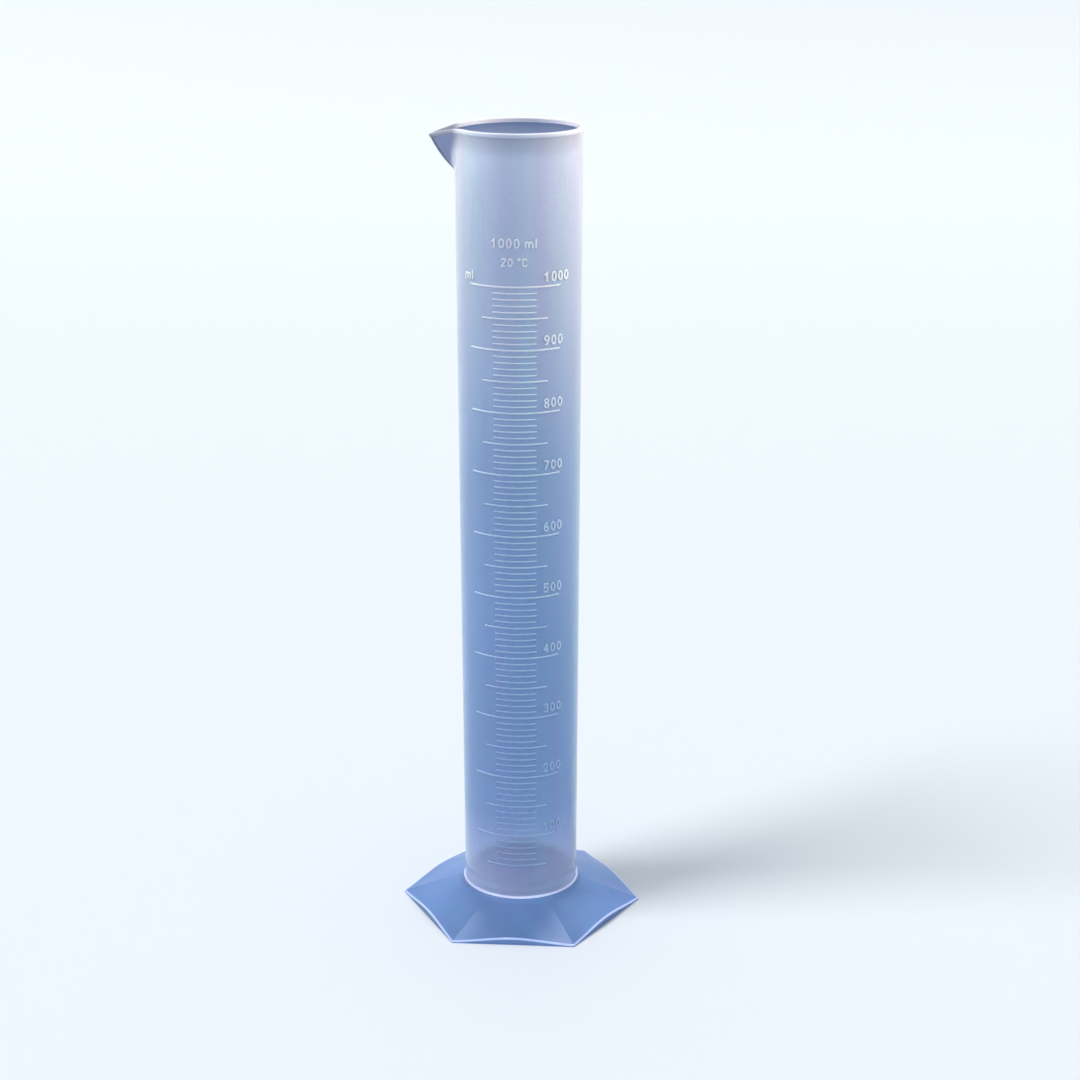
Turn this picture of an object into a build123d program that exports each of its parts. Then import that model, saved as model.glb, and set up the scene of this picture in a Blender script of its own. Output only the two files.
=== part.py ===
from build123d import *
import os
from math import cos, degrees, pi, radians, sin, tan

os.makedirs("parts", exist_ok=True)

# A 1000 ml graduated cylinder in natural polypropylene: a drafted tube with a floor, a rim
# bead and a pouring spout, set in a hexagonal foot, with a raised scale on the tube.
# The origin is on the floor at the tube's axis. +Z runs up the tube, the scale faces -Y
# and the spout points to -X. All sizes are in millimetres.

# Tube
RIM_HEIGHT = 439.1
JOINT_HEIGHT = 16.1          # top of the joint between tube and foot
JOINT_RADIUS = 31.6          # outer radius of the tube at the joint
RIM_RADIUS = 33.3            # outer radius of the tube at the rim
WALL = 1.9
FLOOR_TOP = 17.0             # inside floor of the measuring space
BEAD_HEIGHT = 2.4
BEAD_PROUD = 0.35
SPIGOT_RADIUS = 31.2         # the tube's end below the foot's collar

# Spout
SPOUT_REACH = 46.4           # axis to the tip of the spout
SPOUT_TIP_DROP = 4.7         # tip of the spout below the rim
LIP_BREAK = 26.0             # distance from the axis where the level lip starts to drop
SPOUT_DEPTH = 23.5           # root of the keel below the rim
SPOUT_HALF_ANGLE = 43.0      # half the angle between the spout's side walls
KEEL_BELLY = (39.4, 16.5)    # radius, and depth below the rim, of the keel's middle
KEEL_BURIED = 0.3            # the keel starts this far inside the surface of the tube's wall
LIP_TIP_SLOPE = 1 / 3        # slope of the lip at the spout's tip
SPOUT_HALF_WIDTH = 24.5      # the side walls end inside the tube's wall
SPOUT_BACK = 15.0            # the spout's walls start this far from the axis, inside the bore

# Foot
FOOT_CORNER_RADIUS = 67.4
FOOT_WALL = 2.2
COLLAR_RADIUS = 33.7
COLLAR_TOP = 14.9
SEAT_TOP = 10.0              # ledge that the tube's spigot stands on
SEAT_RADIUS = 26.5
SEAT_THICKNESS = 2.4
SPIGOT_CLEARANCE = 0.1
JOINT_PROUD = 1.1
COLLAR_ROUND = 1.0
RIB_THICKNESS = 1.6
RIB_BOTTOM = 1.0
SIDES = 6
SIDE_TURN = 360 / SIDES
FACET_INNER = 30.0           # distance from the axis where each facet starts
FACET_MIDDLE = 45.0
INNER_ARCH = (14.8, 13.0, 0.10)    # height at a facet's middle, at its corner lines, and slope there
MIDDLE_ARCH = (8.8, 6.8, 0.06)
EDGE_ARCH = (3.9, 1.0, 0.03)

# Scale
CAPACITY_ML = 1000
FIRST_LINE_ML = 50
LINE_STEP_ML = 10
RELIEF = 0.35                # height of the lines and numerals above the tube's wall
LINE_CREST = 0.7             # width of a line's crest as a share of its base
MAJOR_LINE = (44.0, 0.8)     # half angle in degrees, and width
HALF_LINE = (31.0, 0.7)
MINOR_LINE = (20.0, 0.6)
DIGIT_HEIGHT = 5.2
UNIT_SIZE = 5.0
CAPACITY_SIZE = 5.0
TEMPERATURE_SIZE = 4.5
NUMERAL_START = 26.3         # angle from the scale's middle to a numeral's left side
NUMERAL_LIFT = 2.3           # foot of a numeral above its line
UNIT_START = -52.0
INSCRIPTION_HEIGHTS = (381.5, 372.0)    # feet of the two lines of print above the scale

# Worked out from the sizes above
FOOT_APOTHEM = FOOT_CORNER_RADIUS * cos(radians(SIDE_TURN / 2))
TUBE_SLOPE = (RIM_RADIUS - JOINT_RADIUS) / (RIM_HEIGHT - JOINT_HEIGHT)
SPARE = 2.0                       # solids that cut or are cut off later reach this far beyond
UNCUT_TOP = RIM_HEIGHT + SPARE    # the tube is built this high, then cut off at its lip


def outer_radius(z):
    """Outer radius of the drafted tube at height z."""
    return JOINT_RADIUS + TUBE_SLOPE * (z - JOINT_HEIGHT)


def bore_radius(z):
    """Inner radius of the drafted tube at height z."""
    return outer_radius(z) - WALL


def height_of_volume(millilitres):
    """Height at which the drafted bore holds the given volume."""
    floor_radius = bore_radius(FLOOR_TOP)
    cubic_mm = millilitres * 1000
    surface_radius = (floor_radius ** 3 + 3 * TUBE_SLOPE * cubic_mm / pi) ** (1 / 3)
    return FLOOR_TOP + (surface_radius - floor_radius) / TUBE_SLOPE


def turned(points, arc=360.0):
    """A solid of revolution about Z from (radius, height) corners."""
    return revolve(Plane.XZ * make_face(Polyline(*points, close=True)), Axis.Z, arc)


# ---------------------------------------------------------------- tube

def tube_wall():
    """The drafted wall with its rim bead and the spigot that enters the foot."""
    bead_foot = RIM_HEIGHT - BEAD_HEIGHT
    shell = [
        (0, FLOOR_TOP - WALL),
        (bore_radius(SEAT_TOP), FLOOR_TOP - WALL),
        (bore_radius(SEAT_TOP), SEAT_TOP),
        (SPIGOT_RADIUS, SEAT_TOP),
        (SPIGOT_RADIUS, COLLAR_TOP),
        (outer_radius(COLLAR_TOP), COLLAR_TOP),
        (outer_radius(bead_foot), bead_foot),
        (outer_radius(bead_foot) + BEAD_PROUD, bead_foot + BEAD_PROUD),
        (outer_radius(UNCUT_TOP) + BEAD_PROUD, UNCUT_TOP),
        (0, UNCUT_TOP),
    ]
    return turned(shell)


def bore():
    """The measuring space inside the tube."""
    return turned([
        (0, FLOOR_TOP),
        (bore_radius(FLOOR_TOP), FLOOR_TOP),
        (bore_radius(UNCUT_TOP + SPARE), UNCUT_TOP + SPARE),
        (0, UNCUT_TOP + SPARE),
    ])


def spout_wedge(inset):
    """A beak with a curved keel and two flat-sided walls, drawn in by inset."""
    inset_at_keel = inset / sin(radians(SPOUT_HALF_ANGLE))
    root_height = RIM_HEIGHT - SPOUT_DEPTH
    root = (inset_at_keel - outer_radius(root_height) + KEEL_BURIED, root_height)
    belly = (inset_at_keel - KEEL_BELLY[0], RIM_HEIGHT - KEEL_BELLY[1])
    tip = (inset_at_keel - SPOUT_REACH, RIM_HEIGHT - SPOUT_TIP_DROP)
    back = [(tip[0], UNCUT_TOP), (-SPOUT_BACK, UNCUT_TOP), (-SPOUT_BACK, root_height)]
    profile = Plane.XZ * make_face([ThreePointArc(root, belly, tip), Polyline(tip, *back, root)])
    slant = radians(SPOUT_HALF_ANGLE)
    half = extrude(profile, SPOUT_HALF_WIDTH / sin(slant), dir=(cos(slant), sin(slant), 0))
    return half + mirror(half, Plane.XZ)


def above_lip():
    """Everything above the lip, which is level all round and then drops to the spout's tip."""
    level_end = (-LIP_BREAK, RIM_HEIGHT)
    tip = (-SPOUT_REACH, RIM_HEIGHT - SPOUT_TIP_DROP)
    beyond = (-FOOT_CORNER_RADIUS, tip[1])
    high = UNCUT_TOP + 2 * SPARE
    lip = Spline(level_end, tip, tangents=[(-1, 0), (-1, -LIP_TIP_SLOPE)])
    closing = Polyline(
        tip,
        beyond,
        (beyond[0], high),
        (FOOT_CORNER_RADIUS, high),
        (FOOT_CORNER_RADIUS, RIM_HEIGHT),
        level_end,
    )
    return extrude(Plane.XZ * make_face([lip, closing]), FOOT_CORNER_RADIUS, both=True)


def tube():
    """The tube moulding: wall, floor, rim bead and spout in one piece of plastic."""
    body = tube_wall() + spout_wedge(0)
    body -= spout_wedge(WALL)
    body -= bore()
    return body - above_lip()


# ---------------------------------------------------------------- foot

def facet_section(distance, arch_sizes, drop, bottom):
    """A section across one facet at a distance from the axis, with an arched top."""
    half_width = distance * tan(radians(SIDE_TURN / 2))
    top = arch_sizes[0] - drop
    corner = arch_sizes[1] - drop
    corner_slope = arch_sizes[2]
    arch = Spline(
        (-half_width, corner),
        (0, top),
        (half_width, corner),
        tangents=[(1, corner_slope), (1, 0), (1, -corner_slope)],
    )
    sides = Polyline(
        (half_width, corner), (half_width, bottom), (-half_width, bottom), (-half_width, corner)
    )
    section_plane = Plane(origin=(distance, 0, 0), x_dir=(0, 1, 0), z_dir=(1, 0, 0))
    return section_plane * make_face([arch, sides])


def facets(apothem, drop, bottom):
    """Six arched facets out to a hexagon, lowered by drop and filled down to bottom."""
    facet = loft([
        facet_section(FACET_INNER, INNER_ARCH, drop, bottom),
        facet_section(FACET_MIDDLE, MIDDLE_ARCH, drop, bottom),
        facet_section(FOOT_APOTHEM, EDGE_ARCH, drop, bottom),
    ])
    facet &= Box(2 * apothem, 4 * apothem, 4 * COLLAR_TOP)
    solid = Part()
    for side in range(SIDES):
        solid += Rot(0, 0, (side + 0.5) * SIDE_TURN) * facet
    return solid


def collar():
    """The collar round the tube's end, and the ledge that the spigot stands on."""
    ledge_bottom = SEAT_TOP - SEAT_THICKNESS
    ring = turned([
        (SEAT_RADIUS, ledge_bottom),
        (COLLAR_RADIUS, ledge_bottom),
        (COLLAR_RADIUS, COLLAR_TOP),
        (SEAT_RADIUS, COLLAR_TOP),
    ])
    rim = ring.edges().group_by(Axis.Z)[-1].sort_by(SortBy.RADIUS)[-1]
    return fillet(rim, COLLAR_ROUND)


def ribs():
    """Six upright ribs under the corner lines, from the collar to the corners."""
    length = FOOT_CORNER_RADIUS - 2 * FOOT_WALL - COLLAR_RADIUS
    height = COLLAR_TOP - RIB_BOTTOM
    middle = COLLAR_RADIUS + (length - FOOT_WALL) / 2
    rib = Pos(middle, 0, RIB_BOTTOM + height / 2) * Box(length, RIB_THICKNESS, height)
    star = Part()
    for corner in range(SIDES):
        star += Rot(0, 0, corner * SIDE_TURN) * rib
    return star


def foot():
    """The foot moulding: a hollow skirt of six facets, a collar, a seat and six ribs."""
    outside = facets(FOOT_APOTHEM, 0, 0)
    hollow = facets(FOOT_APOTHEM - FOOT_WALL, FOOT_WALL, -COLLAR_TOP)
    socket = turned([
        (0, SEAT_TOP),
        (SPIGOT_RADIUS + SPIGOT_CLEARANCE, SEAT_TOP),
        (SPIGOT_RADIUS + SPIGOT_CLEARANCE, 2 * COLLAR_TOP),
        (0, 2 * COLLAR_TOP),
    ])
    opening = Cylinder(SEAT_RADIUS, 4 * COLLAR_TOP)
    moulding = outside - hollow + collar() + (ribs() & outside)
    return moulding - socket - opening


def joint_ring():
    """The rounded ring of plastic that closes the joint between tube and foot."""
    foot_inside = (outer_radius(COLLAR_TOP), COLLAR_TOP)
    foot_outside = (JOINT_RADIUS + JOINT_PROUD, COLLAR_TOP)
    top = (outer_radius(JOINT_HEIGHT), JOINT_HEIGHT)
    quarter = cos(radians(45)) * JOINT_PROUD
    bulge = (JOINT_RADIUS + quarter, COLLAR_TOP + quarter)
    outline = [
        Line(foot_inside, foot_outside),
        ThreePointArc(foot_outside, bulge, top),
        Line(top, foot_inside),
    ]
    return revolve(Plane.XZ * make_face(outline), Axis.Z)


# ---------------------------------------------------------------- scale lines

def scale_line(millilitres, half_angle, width):
    """A raised line round the front of the tube at the height of the given volume."""
    z = height_of_volume(millilitres)
    base = width / 2
    crest = LINE_CREST * base
    profile = [
        (outer_radius(z - base), z - base),
        (outer_radius(z - crest) + RELIEF, z - crest),
        (outer_radius(z + crest) + RELIEF, z + crest),
        (outer_radius(z + base), z + base),
    ]
    return Rot(0, 0, -90 - half_angle) * turned(profile, 2 * half_angle)


def scale_lines():
    """The scale's lines, sorted into hundreds, fifties and tens."""
    sorted_lines = {"scale_major_lines": [], "scale_half_lines": [], "scale_minor_lines": []}
    for millilitres in range(FIRST_LINE_ML, CAPACITY_ML + 1, LINE_STEP_ML):
        if millilitres % 100 == 0:
            sorted_lines["scale_major_lines"].append(scale_line(millilitres, *MAJOR_LINE))
        elif millilitres % 50 == 0:
            sorted_lines["scale_half_lines"].append(scale_line(millilitres, *HALF_LINE))
        else:
            sorted_lines["scale_minor_lines"].append(scale_line(millilitres, *MINOR_LINE))
    return sorted_lines


# ---------------------------------------------------------------- print
# A character is drawn one unit high about its own middle line, as strokes of even weight.

STROKE = 0.15
LEFT = -0.215
RIGHT = 0.215
FOOT_LINE = STROKE / 2
HEAD_LINE = 1 - STROKE / 2
SMALL_LINE = 0.62            # head of the small letters
M_HALF_WIDTH = 0.36


def stroke(*path):
    """A round-ended stroke along a path."""
    return SlotArc(Wire(list(path)), STROKE)


def loop(y, half_width, half_height):
    """An oval loop centred at height y."""
    outside = Ellipse(half_width + STROKE / 2, half_height + STROKE / 2)
    inside = Ellipse(half_width - STROKE / 2, half_height - STROKE / 2)
    return Pos(0, y) * (outside - inside)


def digit_0():
    return loop(0.5, RIGHT, 0.5 - STROKE / 2)


def digit_1():
    flag = stroke(Line((LEFT, 0.7), (0, HEAD_LINE)))
    return stroke(Line((0, FOOT_LINE), (0, HEAD_LINE))) + flag


def digit_2():
    bowl = stroke(ThreePointArc((LEFT, 0.7), (0, HEAD_LINE), (RIGHT, 0.7)))
    slope = stroke(Line((RIGHT, 0.7), (LEFT, FOOT_LINE)))
    return bowl + slope + stroke(Line((LEFT, FOOT_LINE), (RIGHT, FOOT_LINE)))


def digit_3():
    upper = stroke(ThreePointArc((-0.17, 0.83), (0.2, 0.73), (0, 0.53)))
    lower = stroke(ThreePointArc((0, 0.53), (RIGHT, 0.3), (-0.18, 0.17)))
    return upper + lower


def digit_4():
    stem = stroke(Line((RIGHT / 2, FOOT_LINE), (RIGHT / 2, HEAD_LINE)))
    slope = stroke(Line((RIGHT / 2, HEAD_LINE), (LEFT, 0.33)))
    return stem + slope + stroke(Line((LEFT, 0.33), (RIGHT, 0.33)))


def digit_5():
    top = stroke(Line((LEFT, HEAD_LINE), (RIGHT, HEAD_LINE)))
    back = stroke(Line((LEFT, HEAD_LINE), (LEFT, 0.52)))
    return top + back + stroke(ThreePointArc((LEFT, 0.52), (RIGHT, 0.33), (LEFT, 0.15)))


def digit_6():
    back = stroke(ThreePointArc((LEFT, 0.3), (-0.13, 0.7), (RIGHT / 2, HEAD_LINE)))
    return loop(0.3, RIGHT, 0.3 - STROKE / 2) + back


def digit_7():
    top = stroke(Line((LEFT, HEAD_LINE), (RIGHT, HEAD_LINE)))
    return top + stroke(Line((RIGHT, HEAD_LINE), (LEFT / 2, FOOT_LINE)))


def digit_8():
    return loop(0.28, RIGHT, 0.28 - STROKE / 2) + loop(0.74, 0.9 * RIGHT, 0.26 - STROKE / 2)


def digit_9():
    return Pos(0, 1) * Rot(0, 0, 180) * digit_6()


def letter_m():
    shoulder = 0.75 * SMALL_LINE
    letter = stroke(Line((-M_HALF_WIDTH, FOOT_LINE), (-M_HALF_WIDTH, SMALL_LINE)))
    for start in (-M_HALF_WIDTH, 0):
        end = start + M_HALF_WIDTH
        middle = (start + end) / 2
        letter += stroke(ThreePointArc((start, shoulder), (middle, SMALL_LINE), (end, shoulder)))
        letter += stroke(Line((end, shoulder), (end, FOOT_LINE)))
    return letter


def letter_l():
    return stroke(Line((0, FOOT_LINE), (0, HEAD_LINE)))


def letter_c():
    head = stroke(ThreePointArc((RIGHT, 0.76), (0, HEAD_LINE), (LEFT, 0.7)))
    back = stroke(Line((LEFT, 0.7), (LEFT, 0.3)))
    return head + back + stroke(ThreePointArc((LEFT, 0.3), (0, FOOT_LINE), (RIGHT, 0.24)))


def degree_sign():
    return loop(0.85, 0.1, 0.1)


DIGIT_SHARE = 0.78

# Each character's drawing, and the share of the height that it takes along the line.
CHARACTERS = {
    "0": (digit_0, DIGIT_SHARE),
    "1": (digit_1, DIGIT_SHARE),
    "2": (digit_2, DIGIT_SHARE),
    "3": (digit_3, DIGIT_SHARE),
    "4": (digit_4, DIGIT_SHARE),
    "5": (digit_5, DIGIT_SHARE),
    "6": (digit_6, DIGIT_SHARE),
    "7": (digit_7, DIGIT_SHARE),
    "8": (digit_8, DIGIT_SHARE),
    "9": (digit_9, DIGIT_SHARE),
    "m": (letter_m, 1.05),
    "l": (letter_l, 0.4),
    "C": (letter_c, DIGIT_SHARE),
    "°": (degree_sign, 0.5),
    " ": (None, 0.35),
}


def raised_character(drawing, size, z, angle):
    """A character standing on the tube's wall with its foot at height z."""
    turn = radians(angle)
    outward = Vector(sin(turn), -cos(turn), 0)
    along = Vector(cos(turn), sin(turn), 0)
    buried = outward * (outer_radius(z) - SPARE) + Vector(0, 0, z)
    drawing_plane = Plane(origin=buried, x_dir=along, z_dir=outward)
    column = extrude(drawing_plane * drawing.scale(size, about=(0, 0, 0)), 2 * SPARE)
    below = z - SPARE
    above = z + size + SPARE
    band = turned([
        (outer_radius(below), below),
        (outer_radius(below) + RELIEF, below),
        (outer_radius(above) + RELIEF, above),
        (outer_radius(above), above),
    ])
    return column & band


def line_length(text, size):
    """Length of a line of characters round the tube."""
    return sum(CHARACTERS[character][1] for character in text) * size


def raised_text(text, size, z, start_angle):
    """A line of raised characters that starts at an angle from the scale's middle."""
    travelled = 0
    raised = []
    for character in text:
        draw, share = CHARACTERS[character]
        angle = start_angle + degrees((travelled + share * size / 2) / outer_radius(z))
        if draw:
            raised.append(raised_character(draw(), size, z, angle))
        travelled += share * size
    return raised


def centred_text(text, size, z):
    """A line of raised characters centred on the scale's middle."""
    start_angle = -degrees(line_length(text, size) / 2 / outer_radius(z))
    return raised_text(text, size, z, start_angle)


def numerals():
    """A numeral over the right-hand end of each line of hundreds."""
    named = {}
    for millilitres in range(100, CAPACITY_ML + 1, 100):
        z = height_of_volume(millilitres) + NUMERAL_LIFT
        named[f"numeral_{millilitres}"] = raised_text(str(millilitres), DIGIT_HEIGHT, z, NUMERAL_START)
    return named


def inscriptions():
    """The unit beside the top line, and the capacity and temperature above the scale."""
    top_line = height_of_volume(CAPACITY_ML)
    return {
        "unit_mark": raised_text("ml", UNIT_SIZE, top_line + NUMERAL_LIFT, UNIT_START),
        "capacity_mark": centred_text(f"{CAPACITY_ML} ml", CAPACITY_SIZE, INSCRIPTION_HEIGHTS[0]),
        "temperature_mark": centred_text("20 °C", TEMPERATURE_SIZE, INSCRIPTION_HEIGHTS[1]),
    }


def solids_of(shapes):
    """One compound of all the solids in a list of shapes."""
    return Compound([solid for shape in shapes for solid in shape.solids()])


nodes = {"tube": [tube()], "foot": [foot()], "joint_ring": [joint_ring()]}
nodes |= scale_lines()
nodes |= numerals()
nodes |= inscriptions()
for name, shapes in nodes.items():
    export_step(solids_of(shapes), f"parts/{name}.step")
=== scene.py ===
import math

import bpy
import numpy as np
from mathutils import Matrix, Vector


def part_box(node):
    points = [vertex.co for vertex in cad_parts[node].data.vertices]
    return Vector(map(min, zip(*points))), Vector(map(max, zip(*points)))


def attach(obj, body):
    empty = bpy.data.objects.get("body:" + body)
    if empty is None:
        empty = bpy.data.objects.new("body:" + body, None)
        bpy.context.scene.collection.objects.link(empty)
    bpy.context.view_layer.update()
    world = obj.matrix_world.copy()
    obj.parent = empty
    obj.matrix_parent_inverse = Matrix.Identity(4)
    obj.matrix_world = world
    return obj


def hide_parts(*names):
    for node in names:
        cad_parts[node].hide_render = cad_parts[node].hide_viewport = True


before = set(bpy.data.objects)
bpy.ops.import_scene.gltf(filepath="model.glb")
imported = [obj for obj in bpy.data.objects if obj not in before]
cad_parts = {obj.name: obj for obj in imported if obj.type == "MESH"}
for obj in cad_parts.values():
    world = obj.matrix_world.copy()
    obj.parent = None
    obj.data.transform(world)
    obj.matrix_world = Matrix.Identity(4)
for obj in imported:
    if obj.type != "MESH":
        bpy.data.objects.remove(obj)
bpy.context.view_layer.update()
scene = bpy.context.scene

MM = 0.001


# ---------------------------------------------------------------- sizes read from the frame

def span(node):
    """Lowest and highest corner of a CAD node, in millimetres."""
    low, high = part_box(node)
    return low / MM, high / MM


tube_low, tube_high = span("tube")
_, foot_high = span("foot")
_, ring_high = span("joint_ring")

RIM = tube_high.z                        # the lip is level here, except on the spout
WALL = 1.9
BEAD_PROUD = 0.35
BEAD_HEIGHT = 2.4
BEAD_RUN = 0.56                          # height over which the bead swells out of the wall
RIM_RADIUS = tube_high.x - BEAD_PROUD
JOINT_PROUD = 1.1
JOINT_RADIUS = ring_high.x - JOINT_PROUD
JOINT_TOP = ring_high.z
COLLAR_TOP = foot_high.z
COLLAR_RADIUS = 33.7
SEAT_TOP = tube_low.z
SEAT_RADIUS = 26.5
SEAT_THICKNESS = 2.4
SPIGOT_RADIUS = 31.2
SOCKET_RADIUS = 31.3
FLOOR_TOP = 17.0
SPOUT_REACH = -tube_low.x
SPOUT_TIP_DROP = 4.7
LIP_BREAK = 26.0                         # distance from the axis where the level lip starts to drop
SPOUT_DEPTH = 23.5
SPOUT_HALF_ANGLE = math.radians(43)
KEEL_BELLY = (39.4, 16.5)                # radius, and depth below the rim
KEEL_BURIED = 0.3                        # depth of the keel's lower end inside the wall
KEEL_RETREAT = 0.9                       # how fast the keel draws in below that end
FOOT_CORNER = foot_high.x
FOOT_APOTHEM = FOOT_CORNER * math.cos(math.radians(30))
FOOT_WALL = 2.2
RIB_THICKNESS = 1.6
RIB_BOTTOM = 1.0
RIB_OVERLAP = 0.8                        # how far a rib runs in under the collar
RIB_SHORT = 4.2                          # how far it stops short of the corner
DRAFT = (RIM_RADIUS - JOINT_RADIUS) / (RIM - JOINT_TOP)

# the facets of the foot: distances from the axis, and at each the height of the facet's middle,
# the height of its corner lines, and the slope of its arch there
FACET_STATIONS = (30.0, 45.0, FOOT_APOTHEM)
FACET_TOPS = (14.8, 8.8, 3.9)
FACET_CORNERS = (13.0, 6.8, 1.0)
FACET_SLOPES = (0.10, 0.06, 0.03)

# roundings
KEEL_SOFTNESS = 0.012                    # radians either side of the keel
SPOUT_FILLET = 1.5
CREST_ROUND = 0.8
FLOOR_FILLET = 2.5
EDGE_ROUND = 0.9
COLLAR_ROUND = 1.0
COLLAR_BLEND = 1.6                       # width of the hollow where the collar meets the facets
SMALL_EDGE = 0.3                         # break on edges that are hidden or underneath
SEAT_EDGE = 0.2
BOTTOM_EDGE = 0.25                       # break on the edges that stand on the surface
SEAM = 0.02                              # height of the step between two rings on a sharp edge
RING_BURIED = 0.3                        # depth of the joint ring inside the tube's wall
RING_UNEVEN = (0.12, 0.10)               # how far the bead falls short outwards and upwards

# how finely the surfaces are divided
SPOUT_COLUMNS = 193
SPOUT_REGION = math.radians(48)          # half the angle that the spout's columns cover
WALL_COLUMNS = 170
FACET_COLUMNS = 60
RING_COLUMNS = 288
LIGHT_LIP_RINGS = 3                      # rings of the inner wall that share the rim's painted highlight


# ---------------------------------------------------------------- mesh helpers

def wall_radius(z):
    """Outer radius of the drafted tube at height z."""
    return JOINT_RADIUS + DRAFT * (z - JOINT_TOP)


def hermite(t, start, end, start_slope=0.0, end_slope=0.0):
    """A cubic from start to end with the given slopes over t from 0 to 1."""
    t = np.clip(t, 0, 1)
    rise = start + (end - start) * (3 * t ** 2 - 2 * t ** 3)
    return rise + start_slope * (t ** 3 - 2 * t ** 2 + t) + end_slope * (t ** 3 - t ** 2)


def smooth_max(a, b, width):
    """The larger of a and b, with a fillet of the given width where they cross."""
    share = np.clip(0.5 + 0.5 * (b - a) / width, 0, 1)
    return a + (b - a) * share + width * share * (1 - share)


def quadratic(x, xs, ys):
    """The parabola through three points."""
    total = 0.0
    for i in range(3):
        term = ys[i]
        for j in range(3):
            if i != j:
                term = term * (x - xs[j]) / (xs[i] - xs[j])
        total = total + term
    return total


def mesh_object(name, vertices, faces):
    """A smooth-shaded object from millimetre vertices and faces."""
    mesh = bpy.data.meshes.new(name)
    mesh.from_pydata((np.asarray(vertices) * MM).tolist(), [], faces)
    mesh.polygons.foreach_set("use_smooth", [True] * len(mesh.polygons))
    mesh.update()
    obj = bpy.data.objects.new(name, mesh)
    scene.collection.objects.link(obj)
    return obj


def ring_faces(rings, columns, closed):
    """Quads between successive rings of columns, and from last to first if closed."""
    faces = []
    for i in range(rings if closed else rings - 1):
        low = i * columns
        high = ((i + 1) % rings) * columns
        for j in range(columns):
            k = (j + 1) % columns
            faces.append((low + j, low + k, high + k, high + j))
    return faces


# ---------------------------------------------------------------- tube

def tube_columns():
    """Angles from the spout's direction round the tube, closer together at the spout."""
    spout = np.linspace(-SPOUT_REGION, SPOUT_REGION, SPOUT_COLUMNS)
    rest = np.linspace(SPOUT_REGION, 2 * math.pi - SPOUT_REGION, WALL_COLUMNS)[1:-1]
    return np.concatenate([spout, rest])


def keel_radius(z):
    """Distance of the spout's keel from the axis at height z: an arc up to the tip."""
    root = np.array([wall_radius(RIM - SPOUT_DEPTH) - KEEL_BURIED, RIM - SPOUT_DEPTH])
    belly = np.array([KEEL_BELLY[0], RIM - KEEL_BELLY[1]])
    tip = np.array([SPOUT_REACH, RIM - SPOUT_TIP_DROP])
    matrix = [2 * (belly - root), 2 * (tip - root)]
    right = [belly @ belly - root @ root, tip @ tip - root @ root]
    centre = np.linalg.solve(matrix, right)
    radius = math.dist(root, centre)
    height = np.clip(z, root[1], tip[1]) - centre[1]
    reach = centre[0] + np.sqrt(radius ** 2 - height ** 2)
    return reach - np.maximum(root[1] - z, 0) * KEEL_RETREAT


def wall_outline(z, angle, inset):
    """Distance of the wall's surface from the axis, drawn in by inset, with the spout."""
    away = np.abs((angle + math.pi) % (2 * math.pi) - math.pi)
    softened = np.sqrt(away ** 2 + KEEL_SOFTNESS ** 2) - KEEL_SOFTNESS
    tip = keel_radius(z) - inset / math.sin(SPOUT_HALF_ANGLE)
    reach = np.minimum(softened + SPOUT_HALF_ANGLE, math.pi / 2)
    beak = tip * math.sin(SPOUT_HALF_ANGLE) / np.sin(reach)
    return smooth_max(wall_radius(z) - inset, beak, SPOUT_FILLET)


def lip_height(x):
    """Height of the lip at x: level all round, then dropping to the spout's tip."""
    length = SPOUT_REACH - LIP_BREAK
    return hermite((-LIP_BREAK - x) / length, RIM, RIM - SPOUT_TIP_DROP, 0, -length / 3)


def lip_of(angle, inset):
    """Height and distance from the axis of the lip on one face of the wall."""
    height = np.full_like(angle, RIM)
    for _ in range(12):
        distance = wall_outline(height, angle, inset)
        height = lip_height(-distance * np.cos(angle))
    return height, distance


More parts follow.
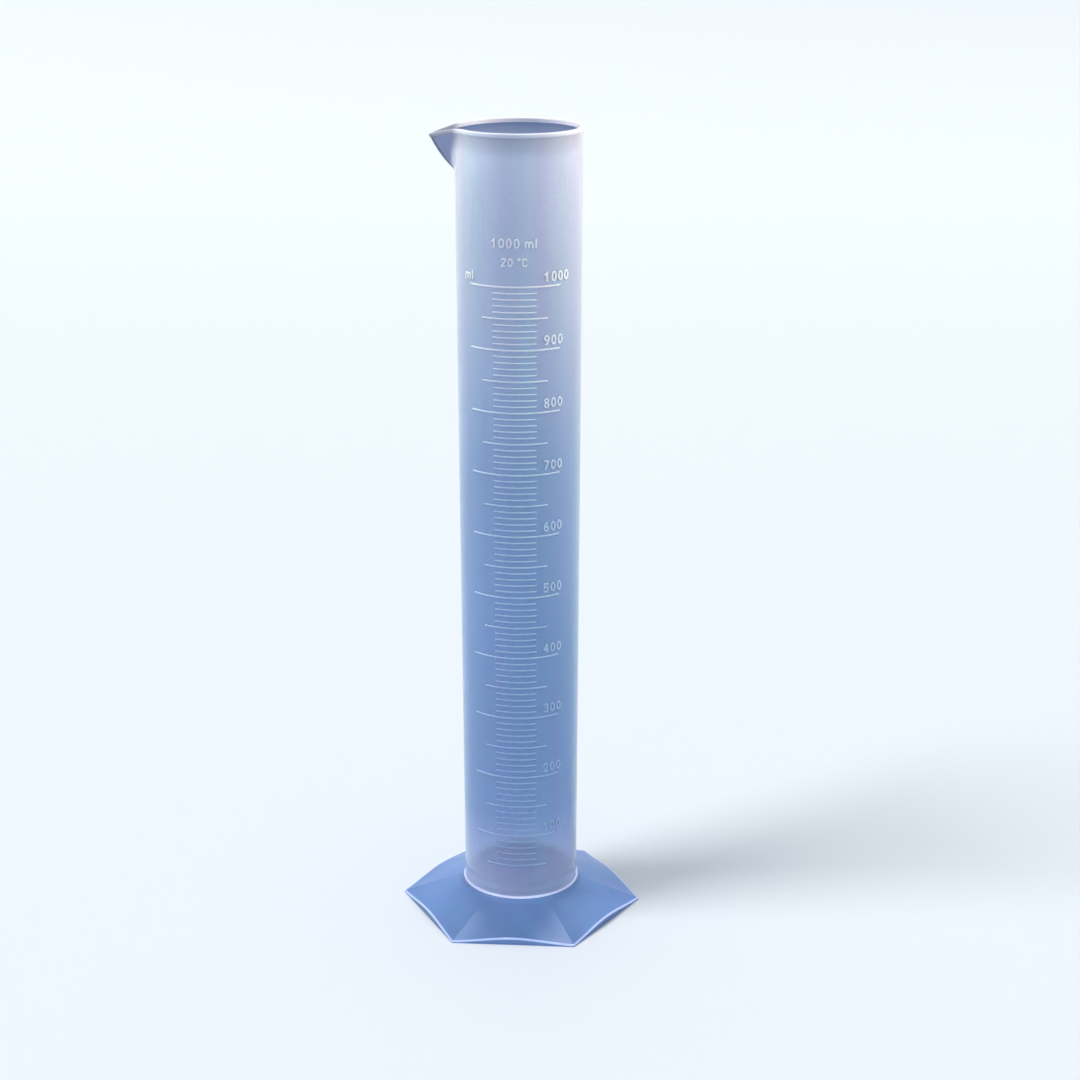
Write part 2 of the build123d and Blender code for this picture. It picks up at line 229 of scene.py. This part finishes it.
def tube_rings():
    """The tube's closed surface as rings of (distance, height), up the outside and down inside."""
    angle = tube_columns()
    ones = np.ones_like(angle)
    spigot_bore = wall_radius(SEAT_TOP) - WALL
    rings = []

    def level(distance, height):
        rings.append((distance * ones, height * ones))

    for share in (0.25, 0.5, 0.75, 0.96):
        level(spigot_bore * share, FLOOR_TOP - WALL)
    level(spigot_bore, FLOOR_TOP - WALL - 0.5)
    level(spigot_bore, SEAT_TOP + SMALL_EDGE)
    level(spigot_bore + SMALL_EDGE, SEAT_TOP)
    level(SPIGOT_RADIUS - SMALL_EDGE, SEAT_TOP)
    level(SPIGOT_RADIUS, SEAT_TOP + SMALL_EDGE)
    level(SPIGOT_RADIUS, COLLAR_TOP - SEAM)
    level(wall_radius(COLLAR_TOP) - SEAM, COLLAR_TOP)

    outer_lip, _ = lip_of(angle, 0)
    inner_lip, _ = lip_of(angle, WALL)
    spout_foot = RIM - SPOUT_DEPTH - 2
    for z in np.linspace(COLLAR_TOP + SEAM, spout_foot, 40):
        rings.append((wall_outline(z * ones, angle, 0), z * ones))
    bead_foot = outer_lip - BEAD_HEIGHT
    for share in np.linspace(0, 1, 44)[1:]:
        z = spout_foot + (bead_foot - spout_foot) * share
        rings.append((wall_outline(z, angle, 0), z))
    rim_start = len(rings) - 1
    for share in np.linspace(0, 1, 7)[1:]:
        z = bead_foot + BEAD_RUN * share
        proud = BEAD_PROUD * hermite(share, 0, 1)
        rings.append((wall_outline(z, angle, 0) + proud, z))
    crest_foot = outer_lip - CREST_ROUND
    start = bead_foot + BEAD_RUN
    for share in (0.35, 0.7, 1.0):
        z = start + (crest_foot - start) * share
        rings.append((wall_outline(z, angle, 0) + BEAD_PROUD, z))
    outer = wall_outline(outer_lip, angle, 0) + BEAD_PROUD
    inner = wall_outline(inner_lip, angle, WALL)
    for turn in np.linspace(-math.pi / 2, math.pi / 2, 15)[1:-1]:
        across = (1 + math.sin(turn)) / 2
        distance = outer + (inner - outer) * across
        crest = lip_height(-distance * np.cos(angle))
        rings.append((distance, crest - CREST_ROUND * (1 - math.cos(turn))))
    inside_start = len(rings) + LIGHT_LIP_RINGS
    for share in np.linspace(0, 1, 46):
        z = inner_lip - CREST_ROUND + (spout_foot - inner_lip + CREST_ROUND) * share
        rings.append((wall_outline(z, angle, WALL), z))
    for z in np.linspace(spout_foot, FLOOR_TOP + FLOOR_FILLET, 40)[1:]:
        level(wall_radius(z) - WALL, z)
    bore = wall_radius(FLOOR_TOP) - WALL
    floor_start = len(rings) - 1
    for turn in np.linspace(0, math.pi / 2, 9)[1:]:
        level(
            bore - FLOOR_FILLET * (1 - math.cos(turn)),
            FLOOR_TOP + FLOOR_FILLET * (1 - math.sin(turn)),
        )
    for share in (0.75, 0.5, 0.25):
        level(bore * share, FLOOR_TOP)
    return angle, rings, (rim_start, inside_start, floor_start)


def build_tube():
    """The tube moulding as one closed mesh, with a slot each for outside, rim, inside and floor;
    the rim's slot carries a painted highlight, the inside's painted shade under the lip, the
    floor's painted light.
    """
    angle, rings, starts = tube_rings()
    columns = len(angle)
    vertices = []
    for distance, height in rings:
        ring = np.stack([-distance * np.cos(angle), -distance * np.sin(angle), height], axis=1)
        vertices.append(ring)
    vertices = np.concatenate(vertices)
    faces = ring_faces(len(rings), columns, False)
    below = len(vertices)
    vertices = np.vstack([vertices, [[0, 0, FLOOR_TOP - WALL], [0, 0, FLOOR_TOP]]])
    last = (len(rings) - 1) * columns
    for j in range(columns):
        k = (j + 1) % columns
        faces.append((below, k, j))
        faces.append((below + 1, last + j, last + k))
    tube = mesh_object("tube_body", vertices, faces)
    slots = np.zeros(len(faces), dtype=int)
    for slot, start in enumerate(starts, start=1):
        slots[start * columns:] = slot
    cap_start = (len(rings) - 1) * columns
    slots[cap_start::2] = 0              # every second triangle of the caps is underneath
    tube.data.polygons.foreach_set("material_index", slots)
    return tube


# ---------------------------------------------------------------- foot

def foot_columns():
    """Azimuths round the foot, closer together at the corners."""
    half = math.radians(30)
    share = np.linspace(-1, 1, FACET_COLUMNS + 1)[:-1]
    spread = np.sin(share * math.pi / 2) * 0.55 + share * 0.45
    return np.concatenate([math.radians(60 * side + 30) + spread * half for side in range(6)])


def facet_height(distance, offset):
    """Height of the skirt's top at a distance from the axis and an angle off a facet's middle."""
    forward = distance * np.cos(offset)
    sideways = np.abs(distance * np.sin(offset))
    half_width = forward * math.tan(math.radians(30))
    top = quadratic(forward, FACET_STATIONS, FACET_TOPS)
    corner = quadratic(forward, FACET_STATIONS, FACET_CORNERS)
    slope = quadratic(forward, FACET_STATIONS, FACET_SLOPES) * half_width
    return hermite(1 - sideways / half_width, corner, top, slope, 0)


def foot_rings():
    """The foot's closed surface as rings of (distance, height), starting at the collar."""
    azimuth = foot_columns()[::-1]
    offset = (azimuth % math.radians(60)) - math.radians(30)
    ones = np.ones_like(azimuth)
    edge = FOOT_APOTHEM / np.cos(offset)
    inner_edge = (FOOT_APOTHEM - FOOT_WALL) / np.cos(offset)
    rings = []

    def level(distance, height):
        rings.append((distance * ones, height * ones))

    ledge_bottom = SEAT_TOP - SEAT_THICKNESS
    level(SEAT_RADIUS, SEAT_TOP - SEAT_EDGE)
    level(SEAT_RADIUS + SEAT_EDGE, SEAT_TOP)
    level(SOCKET_RADIUS - SEAM, SEAT_TOP)
    level(SOCKET_RADIUS, SEAT_TOP + SEAM)
    level(SOCKET_RADIUS, COLLAR_TOP - SEAM)
    level(SOCKET_RADIUS + SEAM, COLLAR_TOP)
    for turn in np.linspace(0, math.pi / 2, 7):
        level(
            COLLAR_RADIUS - COLLAR_ROUND * (1 - math.sin(turn)),
            COLLAR_TOP - COLLAR_ROUND * (1 - math.cos(turn)),
        )
    start = COLLAR_RADIUS + COLLAR_BLEND
    for turn in np.linspace(0, math.pi / 2, 7)[1:]:
        distance = (start - COLLAR_BLEND * math.cos(turn)) * ones
        facet = facet_height(distance, offset)
        lift = hermite(turn * 2 / math.pi, 1, 0) * 0.5
        rings.append((distance, facet + lift * np.maximum(COLLAR_TOP - COLLAR_ROUND - facet, 0)))
    for share in np.linspace(0, 1, 30)[1:]:
        distance = start + (edge - EDGE_ROUND - start) * share
        rings.append((distance, facet_height(distance, offset)))
    shoulder = facet_height(edge - EDGE_ROUND, offset)
    round_down = np.minimum(EDGE_ROUND, shoulder * 0.6)
    highlight_start = len(rings) - 1
    for turn in np.linspace(0, math.pi / 2, 8)[1:]:
        rings.append((
            edge - EDGE_ROUND * (1 - math.sin(turn)),
            shoulder - round_down * (1 - math.cos(turn)),
        ))
    highlight_end = len(rings) - 1
    rings.append((edge, np.minimum(shoulder - round_down, SMALL_EDGE)))
    rings.append((edge - BOTTOM_EDGE, 0 * ones))
    rings.append((inner_edge + BOTTOM_EDGE, 0 * ones))
    under_edge = np.maximum(facet_height(inner_edge, offset) - FOOT_WALL, 0)
    rings.append((inner_edge, np.minimum(BOTTOM_EDGE, under_edge)))
    rings.append((inner_edge - SEAM, under_edge))
    for share in np.linspace(0, 1, 24)[1:]:
        distance = inner_edge + (COLLAR_RADIUS + SMALL_EDGE - inner_edge) * share
        rings.append((distance, np.maximum(facet_height(distance, offset) - FOOT_WALL, 0)))
    level(COLLAR_RADIUS, ledge_bottom + SMALL_EDGE)
    level(COLLAR_RADIUS - SMALL_EDGE, ledge_bottom)
    level(SEAT_RADIUS + SMALL_EDGE, ledge_bottom)
    level(SEAT_RADIUS, ledge_bottom + SMALL_EDGE)
    return azimuth, rings, highlight_start, highlight_end


def build_ribs():
    """Six upright ribs under the corner lines, from the collar out to the corners."""
    along = np.linspace(COLLAR_RADIUS - RIB_OVERLAP, FOOT_CORNER - RIB_SHORT, 12)
    forward = along * math.cos(math.radians(30))
    top = quadratic(forward, FACET_STATIONS, FACET_CORNERS) - FOOT_WALL / 2
    vertices = []
    faces = []
    for corner in range(6):
        turn = math.radians(60 * corner)
        out = np.array([math.cos(turn), math.sin(turn), 0])
        side = np.array([-math.sin(turn), math.cos(turn), 0]) * RIB_THICKNESS / 2
        start = len(vertices)
        for distance, height in zip(along, top):
            for z in (RIB_BOTTOM, height):
                for way in (-1, 1):
                    vertices.append(out * distance + side * way + np.array([0, 0, z]))
        for station in range(len(along) - 1):
            a = start + 4 * station
            b = a + 4
            faces += [(a, a + 1, b + 1, b), (a + 3, a + 2, b + 2, b + 3)]
            faces += [(a + 2, a, b, b + 2), (a + 1, a + 3, b + 3, b + 1)]
        end = start + 4 * (len(along) - 1)
        faces += [(start, start + 2, start + 3, start + 1), (end, end + 1, end + 3, end + 2)]
    return mesh_object("ribs", vertices, faces)


def merge(body, extra):
    """Union extra into body and remove extra."""
    union = body.modifiers.new("union", "BOOLEAN")
    union.operation = "UNION"
    union.solver = "EXACT"
    union.object = extra
    evaluated = body.evaluated_get(bpy.context.evaluated_depsgraph_get())
    merged = bpy.data.meshes.new_from_object(evaluated)
    body.modifiers.clear()
    body.data = merged
    bpy.data.objects.remove(extra)


def build_foot():
    """The foot moulding as one closed mesh with its ribs, and a slot for the painted highlight on
    its rounded edge.
    """
    azimuth, rings, highlight_start, highlight_end = foot_rings()
    columns = len(azimuth)
    vertices = np.concatenate([
        np.stack([distance * np.cos(azimuth), distance * np.sin(azimuth), height], axis=1)
        for distance, height in rings
    ])
    foot = mesh_object("foot_body", vertices, ring_faces(len(rings), columns, True))
    slots = np.zeros(len(foot.data.polygons), dtype=int)
    # The rounded edge's faces take the painted highlight.
    slots[highlight_start * columns:highlight_end * columns] = 1
    foot.data.polygons.foreach_set("material_index", slots)
    merge(foot, build_ribs())
    foot.data.set_sharp_from_angle(angle=math.radians(40))
    return foot


# ---------------------------------------------------------------- joint ring

def build_ring():
    """The bead of plastic that closes the joint, a little uneven round its length."""
    azimuth = np.linspace(0, 2 * math.pi, RING_COLUMNS, endpoint=False)
    ones = np.ones_like(azimuth)
    uneven = 0.5 + 0.22 * np.sin(3 * azimuth + 0.7)
    uneven += 0.16 * np.sin(7 * azimuth + 2.1)
    uneven += 0.12 * np.sin(17 * azimuth)
    proud = JOINT_PROUD - RING_UNEVEN[0] * uneven
    rise = JOINT_TOP - COLLAR_TOP - RING_UNEVEN[1] * uneven
    base = wall_radius(COLLAR_TOP)
    buried = (base - RING_BURIED) * ones
    rings = [(buried, (JOINT_TOP - SMALL_EDGE) * ones), (buried, (COLLAR_TOP + SEAM) * ones)]
    for turn in np.linspace(0, math.pi / 2, 12):
        rings.append((base + proud * math.cos(turn), COLLAR_TOP + rise * math.sin(turn)))
    vertices = np.concatenate([
        np.stack([distance * np.cos(azimuth), distance * np.sin(azimuth), height], axis=1)
        for distance, height in rings
    ])
    return mesh_object("ring_bead", vertices, ring_faces(len(rings), len(azimuth), True))


# ---------------------------------------------------------------- plastics

# Tints are linear colours at heights above the surface, in millimetres. Many of them carry painted
# light and shade, noted at each.
VARIATION = 0.04                         # share by which streaks and clouds change a tint
HAZE = 0.35                              # share of the clarity left just above the foot
HAZE_HEIGHT = 9.0                        # height above the collar where the plastic is clear
LAVENDER_CAST = (1.05, 0.98, 1.01)
TEAL_CAST = (0.95, 1.03, 0.98)
# Painted light on the tube: its blue pales towards the rim, where lamps and backdrop brighten the
# wall, and again just above the foot; the even blue between is the plastic's own tint.
TUBE_TINT_AND_LIGHT = [
    (17, (0.58, 0.70, 1.0)),
    (30, (0.54, 0.67, 0.98)),
    (45, (0.48, 0.62, 0.94)),
    (65, (0.35, 0.53, 0.83)),
    (160, (0.35, 0.53, 0.83)),
    (260, (0.41, 0.57, 0.83)),
    (350, (0.60, 0.69, 0.87)),
    (439, (0.70, 0.76, 0.90)),
]
# Painted light and shade on the inner wall: white just above the floor, paler towards the rim like
# the outside, then painted shade darkening the top dozen millimetres under the lip.
INSIDE_TINT_LIGHT_AND_SHADE = [
    (23, (1.0, 1.0, 1.0)),
    (28, (0.66, 0.74, 0.98)),
    (65, (0.35, 0.53, 0.83)),
    (160, (0.35, 0.53, 0.83)),
    (260, (0.41, 0.57, 0.83)),
    (385, (0.60, 0.68, 0.88)),
    (426, (0.62, 0.70, 0.90)),
    (431, (0.16, 0.22, 0.40)),
    (436, (0.07, 0.11, 0.24)),
]
# Painted light on the tube's inner floor: mauve on the floor itself, white on the fillet round it.
FLOOR_LIGHT_TINT = [(17.15, (0.44, 0.44, 0.68)), (17.6, (1.0, 1.0, 1.0))]
SPOUT_FADE = 2.0                         # distance over which the spout's painted light and shade set in
# Painted light and shade on the spout: its shallow channel paler inside, its downward-facing
# outside darker, and its lip darker than the rim's painted highlight.
SPOUT_INSIDE_LIGHT = (0.50, 0.54, 0.72)
SPOUT_OUTSIDE_SHADE = (0.22, 0.29, 0.50)
SPOUT_LIP_SHADE = (0.22, 0.26, 0.38)
# Painted highlight on the rim's bead and the top of the inner lip: pale, and paler towards the top
# of the lip.
RIM_HIGHLIGHT_TINT = [(430, (0.38, 0.44, 0.60)), (439, (0.58, 0.63, 0.80))]
FOOT_TINT = [(0, (0.074, 0.138, 0.300)), (12, (0.086, 0.156, 0.33))]
# Painted highlight on the foot's rounded top edge: paler than the foot, where the rounding catches
# light.
EDGE_HIGHLIGHT_TINT = [(0, (0.30, 0.39, 0.68)), (12, (0.33, 0.42, 0.70))]
# Painted highlight on the joint ring: pale blue-white for the light its rounded bead catches all
# round the front.
RING_HIGHLIGHT_TINT = [(0, (0.42, 0.48, 0.73)), (18, (0.44, 0.50, 0.75))]
# Painted highlight on the scale's raised marks: paler than the wall, and paler towards the rim like
# the tube.
MARK_HIGHLIGHT_TINT = [
    (0, (0.30, 0.47, 0.78)),
    (120, (0.38, 0.56, 0.86)),
    (260, (0.52, 0.67, 0.92)),
    (350, (0.76, 0.83, 0.95)),
    (439, (0.82, 0.87, 0.96)),
]


class Recipe:
    """A Principled material under construction, with helpers that add procedural detail."""

    def __init__(self, name):
        self.material = bpy.data.materials.new(name)
        self.material.use_nodes = True
        self.nodes = self.material.node_tree.nodes
        self.links = self.material.node_tree.links
        self.shader = self.nodes["Principled BSDF"]
        self.place = self.nodes.new("ShaderNodeTexCoord").outputs["Object"]
        split = self.nodes.new("ShaderNodeSeparateXYZ")
        self.links.new(self.place, split.inputs[0])
        self.height = split.outputs["Z"]

    def noise(self, scale, stretch, detail):
        """A noise field in the object's own space; a stretch under 1 draws it out along Z."""
        mapping = self.nodes.new("ShaderNodeMapping")
        mapping.inputs["Scale"].default_value = (1, 1, stretch)
        field = self.nodes.new("ShaderNodeTexNoise")
        field.inputs["Scale"].default_value = scale
        field.inputs["Detail"].default_value = detail
        self.links.new(self.place, mapping.inputs["Vector"])
        self.links.new(mapping.outputs["Vector"], field.inputs["Vector"])
        return field.outputs["Fac"]

    def spread(self, field, low, high):
        """A noise field's usual range mapped to low..high."""
        span = self.nodes.new("ShaderNodeMapRange")
        span.inputs["From Min"].default_value = 0.3
        span.inputs["From Max"].default_value = 0.7
        span.inputs["To Min"].default_value = low
        span.inputs["To Max"].default_value = high
        self.links.new(field, span.inputs["Value"])
        return span.outputs[0]

    def by_height(self, stops):
        """A colour that changes with height. A stop is a height in mm and a colour."""
        share = self.nodes.new("ShaderNodeMath")
        share.operation = "DIVIDE"
        share.inputs[1].default_value = RIM * MM
        ramp = self.nodes.new("ShaderNodeValToRGB")
        self.links.new(self.height, share.inputs[0])
        self.links.new(share.outputs[0], ramp.inputs["Fac"])
        elements = ramp.color_ramp.elements
        while len(elements) < len(stops):
            elements.new(0.5)
        for element, (height, colour) in zip(elements, stops):
            element.position = height / RIM
            element.color = (*colour, 1)
        return ramp.outputs["Color"]

    def between(self, field, low, high):
        """A colour between low and high, driven by a noise field."""
        ramp = self.nodes.new("ShaderNodeValToRGB")
        ramp.color_ramp.elements[0].position = 0.35
        ramp.color_ramp.elements[0].color = (*low, 1)
        ramp.color_ramp.elements[1].position = 0.65
        ramp.color_ramp.elements[1].color = (*high, 1)
        self.links.new(field, ramp.inputs["Fac"])
        return ramp.outputs["Color"]

    def product(self, first, second):
        """Two colours multiplied."""
        node = self.nodes.new("ShaderNodeVectorMath")
        node.operation = "MULTIPLY"
        self.links.new(first, node.inputs[0])
        self.links.new(second, node.inputs[1])
        return node.outputs[0]

    def rising(self, bottom, top, low, high):
        """A number that goes from low to high between two heights in millimetres."""
        share = self.nodes.new("ShaderNodeMapRange")
        share.inputs["From Min"].default_value = bottom * MM
        share.inputs["From Max"].default_value = top * MM
        share.inputs["To Min"].default_value = low
        share.inputs["To Max"].default_value = high
        self.links.new(self.height, share.inputs["Value"])
        return share.outputs[0]

    def scaled(self, colour, factor):
        """A colour made lighter or darker by a number from a field."""
        node = self.nodes.new("ShaderNodeVectorMath")
        node.operation = "SCALE"
        self.links.new(colour, node.inputs[0])
        self.links.new(factor, node.inputs["Scale"])
        return node.outputs[0]

    def beyond(self, colour, distance, other):
        """A colour that turns into another where the surface runs out into the spout: the spout's
        painted light and shade.
        """
        flat = self.nodes.new("ShaderNodeVectorMath")
        flat.operation = "MULTIPLY"
        flat.inputs[1].default_value = (1, 1, 0)
        radius = self.nodes.new("ShaderNodeVectorMath")
        radius.operation = "LENGTH"
        share = self.nodes.new("ShaderNodeMapRange")
        share.inputs["From Min"].default_value = distance * MM
        share.inputs["From Max"].default_value = (distance + SPOUT_FADE) * MM
        mix = self.nodes.new("ShaderNodeMix")
        mix.data_type = "RGBA"
        mix.inputs["B"].default_value = (*other, 1)
        self.links.new(self.place, flat.inputs[0])
        self.links.new(flat.outputs[0], radius.inputs[0])
        self.links.new(radius.outputs["Value"], share.inputs["Value"])
        self.links.new(share.outputs[0], mix.inputs["Factor"])
        self.links.new(colour, mix.inputs["A"])
        return mix.outputs["Result"]

    def bumps(self, layers):
        """Bump layers on top of each other: each a field, a strength and a height in mm."""
        normal = None
        for field, strength, height in layers:
            bump = self.nodes.new("ShaderNodeBump")
            bump.inputs["Strength"].default_value = strength
            bump.inputs["Distance"].default_value = height * MM
            self.links.new(field, bump.inputs["Height"])
            if normal:
                self.links.new(normal, bump.inputs["Normal"])
            normal = bump.outputs["Normal"]
        self.links.new(normal, self.shader.inputs["Normal"])


def polypropylene(
    name, stops, clarity, roughness, ripple=0.25, sheen=0.03, gloss=0.3, in_spout=None
):
    """Natural polypropylene: hazy, coloured by height with the painted light and shade its stops
    carry, with flow streaks and a faint ripple.
    """
    recipe = Recipe(name)
    shader = recipe.shader
    streaks = recipe.noise(90, 0.03, 3)
    clouds = recipe.noise(22, 0.5, 4)
    casts = recipe.noise(80, 0.04, 2)
    colour = recipe.by_height(stops)
    # Beyond the rim's radius the colour turns into the spout's painted light and shade.
    if in_spout:
        colour = recipe.beyond(colour, RIM_RADIUS + BEAD_PROUD, in_spout)
    colour = recipe.product(colour, recipe.between(casts, LAVENDER_CAST, TEAL_CAST))
    colour = recipe.scaled(colour, recipe.spread(streaks, 1 - VARIATION, 1 + VARIATION))
    colour = recipe.scaled(colour, recipe.spread(clouds, 1 - VARIATION, 1 + VARIATION))
    recipe.links.new(colour, shader.inputs["Base Color"])
    frost = recipe.spread(recipe.noise(60, 0.4, 1), roughness * 0.85, roughness * 1.15)
    recipe.links.new(frost, shader.inputs["Roughness"])
    recipe.bumps([
        (recipe.noise(45, 0.15, 2), ripple, 1.2),
        (recipe.noise(700, 1.0, 2), ripple * 0.4, 0.12),
    ])
    haze = recipe.rising(COLLAR_TOP, COLLAR_TOP + HAZE_HEIGHT, clarity * HAZE, clarity)
    recipe.links.new(haze, shader.inputs["Transmission Weight"])
    shader.inputs["IOR"].default_value = 1.49
    shader.inputs["Specular IOR Level"].default_value = gloss
    shader.inputs["Sheen Weight"].default_value = sheen
    shader.inputs["Sheen Roughness"].default_value = 0.45
    shader.inputs["Sheen Tint"].default_value = (1.0, 0.95, 0.97, 1)
    return recipe.material


# ---------------------------------------------------------------- stage, light, camera

CAMERA_DISTANCE = 1.1291
CAMERA_HEIGHT = 0.5872
CAMERA_AZIMUTH = math.radians(3.96)
CAMERA_SIDESTEP = 0.0109
CAMERA_TILT = math.radians(18.23)
LENS = 72.8


def build_camera():
    """A long lens a little above the rim, looking down at the foot."""
    data = bpy.data.cameras.new("camera")
    data.lens = LENS
    data.sensor_width = 36.0
    camera = bpy.data.objects.new("camera", data)
    scene.collection.objects.link(camera)
    right = Vector((math.cos(CAMERA_AZIMUTH), math.sin(CAMERA_AZIMUTH), 0))
    back = Vector((math.sin(CAMERA_AZIMUTH), -math.cos(CAMERA_AZIMUTH), 0))
    up = Vector((0, 0, CAMERA_HEIGHT))
    camera.location = right * CAMERA_SIDESTEP + back * CAMERA_DISTANCE + up
    camera.rotation_euler = (math.pi / 2 - CAMERA_TILT, 0, CAMERA_AZIMUTH)
    scene.camera = camera


def plain_material(name, colour, roughness):
    """A matt material for the stage."""
    material = bpy.data.materials.new(name)
    material.use_nodes = True
    shader = material.node_tree.nodes["Principled BSDF"]
    shader.inputs["Base Color"].default_value = (*colour, 1)
    shader.inputs["Roughness"].default_value = roughness
    return material


STAGE_REACH = 9.0
STAGE_BACK = 3.0
STAGE_CURVE = 0.8
STAGE_HEIGHT = 4.0
STAGE_COLOUR = (0.84, 0.88, 0.91)


def build_stage():
    """A pale floor that curves up into a pale backdrop."""
    points = [(-STAGE_REACH, 0.0)]
    for turn in np.linspace(0, math.pi / 2, 25):
        y = STAGE_BACK - STAGE_CURVE * (1 - math.sin(turn))
        z = STAGE_CURVE * (1 - math.cos(turn))
        points.append((y, z))
    points.append((STAGE_BACK, STAGE_HEIGHT))
    vertices = [(x, y, z) for y, z in points for x in (-STAGE_REACH, STAGE_REACH)]
    faces = [(2 * i, 2 * i + 1, 2 * i + 3, 2 * i + 2) for i in range(len(points) - 1)]
    mesh = bpy.data.meshes.new("stage")
    mesh.from_pydata(vertices, [], faces)
    mesh.polygons.foreach_set("use_smooth", [True] * len(mesh.polygons))
    stage = bpy.data.objects.new("stage", mesh)
    scene.collection.objects.link(stage)
    mesh.materials.append(plain_material("pale_stage", STAGE_COLOUR, 0.6))


WORLD_COLOUR = (0.92, 0.95, 1.0)
WORLD = 0.60
SUN = 1.9
SUN_ANGLE = math.radians(24)
SUN_TRAVEL = (0.75, 0.32, -1.0)
WHITE = (1.0, 1.0, 1.0)
WARM = (1.0, 0.84, 0.60)
RIM_HEIGHT = (0, 0, 0.42)

# name, pieces it lights, position, target, size, power, colour
LAMPS = [
    ("overhead", "lower", (0.0, 0.42, 1.25), (0, 0, 0.10), (0.45, 0.45), 20, WHITE),
    ("front", "lower", (0.22, -1.0, 0.20), (0, 0, 0.01), (0.5, 0.3), 8, WHITE),
    ("left_side", "upper", (-0.32, 0.10, 0.60), RIM_HEIGHT, (0.25, 0.25), 3.3, WARM),
    ("right_side", "upper", (0.33, 0.02, 0.60), RIM_HEIGHT, (0.25, 0.25), 4.0, WARM),
]


def area_light(name, position, target, size, power, colour):
    """A rectangular lamp at a position, facing a target."""
    data = bpy.data.lights.new(name, "AREA")
    data.shape = "RECTANGLE"
    data.size, data.size_y = size
    data.energy = power
    data.color = colour
    light = bpy.data.objects.new(name, data)
    scene.collection.objects.link(light)
    light.location = position
    light.rotation_euler = (Vector(target) - Vector(position)).to_track_quat("-Z", "Y").to_euler()
    return light


def build_surround():
    """A bright surround and a soft sun from the front left."""
    world = bpy.data.worlds.new("studio")
    scene.world = world
    world.use_nodes = True
    background = world.node_tree.nodes["Background"]
    background.inputs["Color"].default_value = (*WORLD_COLOUR, 1)
    background.inputs["Strength"].default_value = WORLD
    data = bpy.data.lights.new("sun", "SUN")
    data.energy = SUN
    data.angle = SUN_ANGLE
    sun = bpy.data.objects.new("sun", data)
    scene.collection.objects.link(sun)
    sun.rotation_euler = Vector(SUN_TRAVEL).to_track_quat("-Z", "Y").to_euler()


def build_lamps(pieces):
    """Four soft lamps: two on the foot and its ring, two on the tube and its scale."""
    groups = {name: bpy.data.collections.new(name) for name in ("upper", "lower")}
    for piece in pieces:
        group = "lower" if piece.name in ("foot_body", "ring_bead") else "upper"
        groups[group].objects.link(piece)
    for name, group, *rest in LAMPS:
        lamp = area_light(name, *rest)
        lamp.light_linking.receiver_collection = groups[group]
        if name != "overhead":
            lamp.visible_glossy = False
            lamp.visible_transmission = False


# ---------------------------------------------------------------- build

def add_piece(piece, node, materials):
    """Put a finished mesh in the place of a CAD node."""
    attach(piece, "root")
    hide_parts(node)
    for material in materials:
        piece.data.materials.append(material)
    return piece


# The tints of these materials carry painted light and shade: highlights on the rim, the foot's
# edge, the joint ring and the marks, shade under the lip and on the spout's outside, light on the
# inner floor, the spout's channel and the upper wall.
tube_plastic = polypropylene(
    "tube_plastic", TUBE_TINT_AND_LIGHT, 0.72, 0.08, sheen=0, gloss=0.08, in_spout=SPOUT_OUTSIDE_SHADE
)
rim_highlight_plastic = polypropylene("rim_highlight_plastic", RIM_HIGHLIGHT_TINT, 0.35, 0.12, in_spout=SPOUT_LIP_SHADE)
inside_plastic = polypropylene(
    "inside_plastic", INSIDE_TINT_LIGHT_AND_SHADE, 0.72, 0.08, sheen=0, gloss=0.08, in_spout=SPOUT_INSIDE_LIGHT
)
floor_light_plastic = polypropylene("floor_light_plastic", FLOOR_LIGHT_TINT, 0.1, 0.2)
edge_highlight_plastic = polypropylene("edge_highlight_plastic", EDGE_HIGHLIGHT_TINT, 0.3, 0.12, sheen=0.25)
foot_plastic = polypropylene("foot_plastic", FOOT_TINT, 0.08, 0.34, ripple=0.1, gloss=0.2)
ring_highlight_plastic = polypropylene("ring_highlight_plastic", RING_HIGHLIGHT_TINT, 0.3, 0.2, sheen=0.25)
mark_highlight_plastic = polypropylene("mark_highlight_plastic", MARK_HIGHLIGHT_TINT, 0.3, 0.35, ripple=0.1, sheen=0.25)

pieces = [
    add_piece(
        build_tube(), "tube",
        [tube_plastic, rim_highlight_plastic, inside_plastic, floor_light_plastic],
    ),
    add_piece(build_foot(), "foot", [foot_plastic, edge_highlight_plastic]),
    add_piece(build_ring(), "joint_ring", [ring_highlight_plastic]),
]
replaced = ("tube", "foot", "joint_ring")
# The scale's marks take the painted highlight.
for name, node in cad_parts.items():
    if name not in replaced:
        node.data.materials.clear()
        node.data.materials.append(mark_highlight_plastic)
        pieces.append(node)

build_camera()
build_stage()
build_surround()
build_lamps(pieces)
scene.view_settings.view_transform = "Standard"
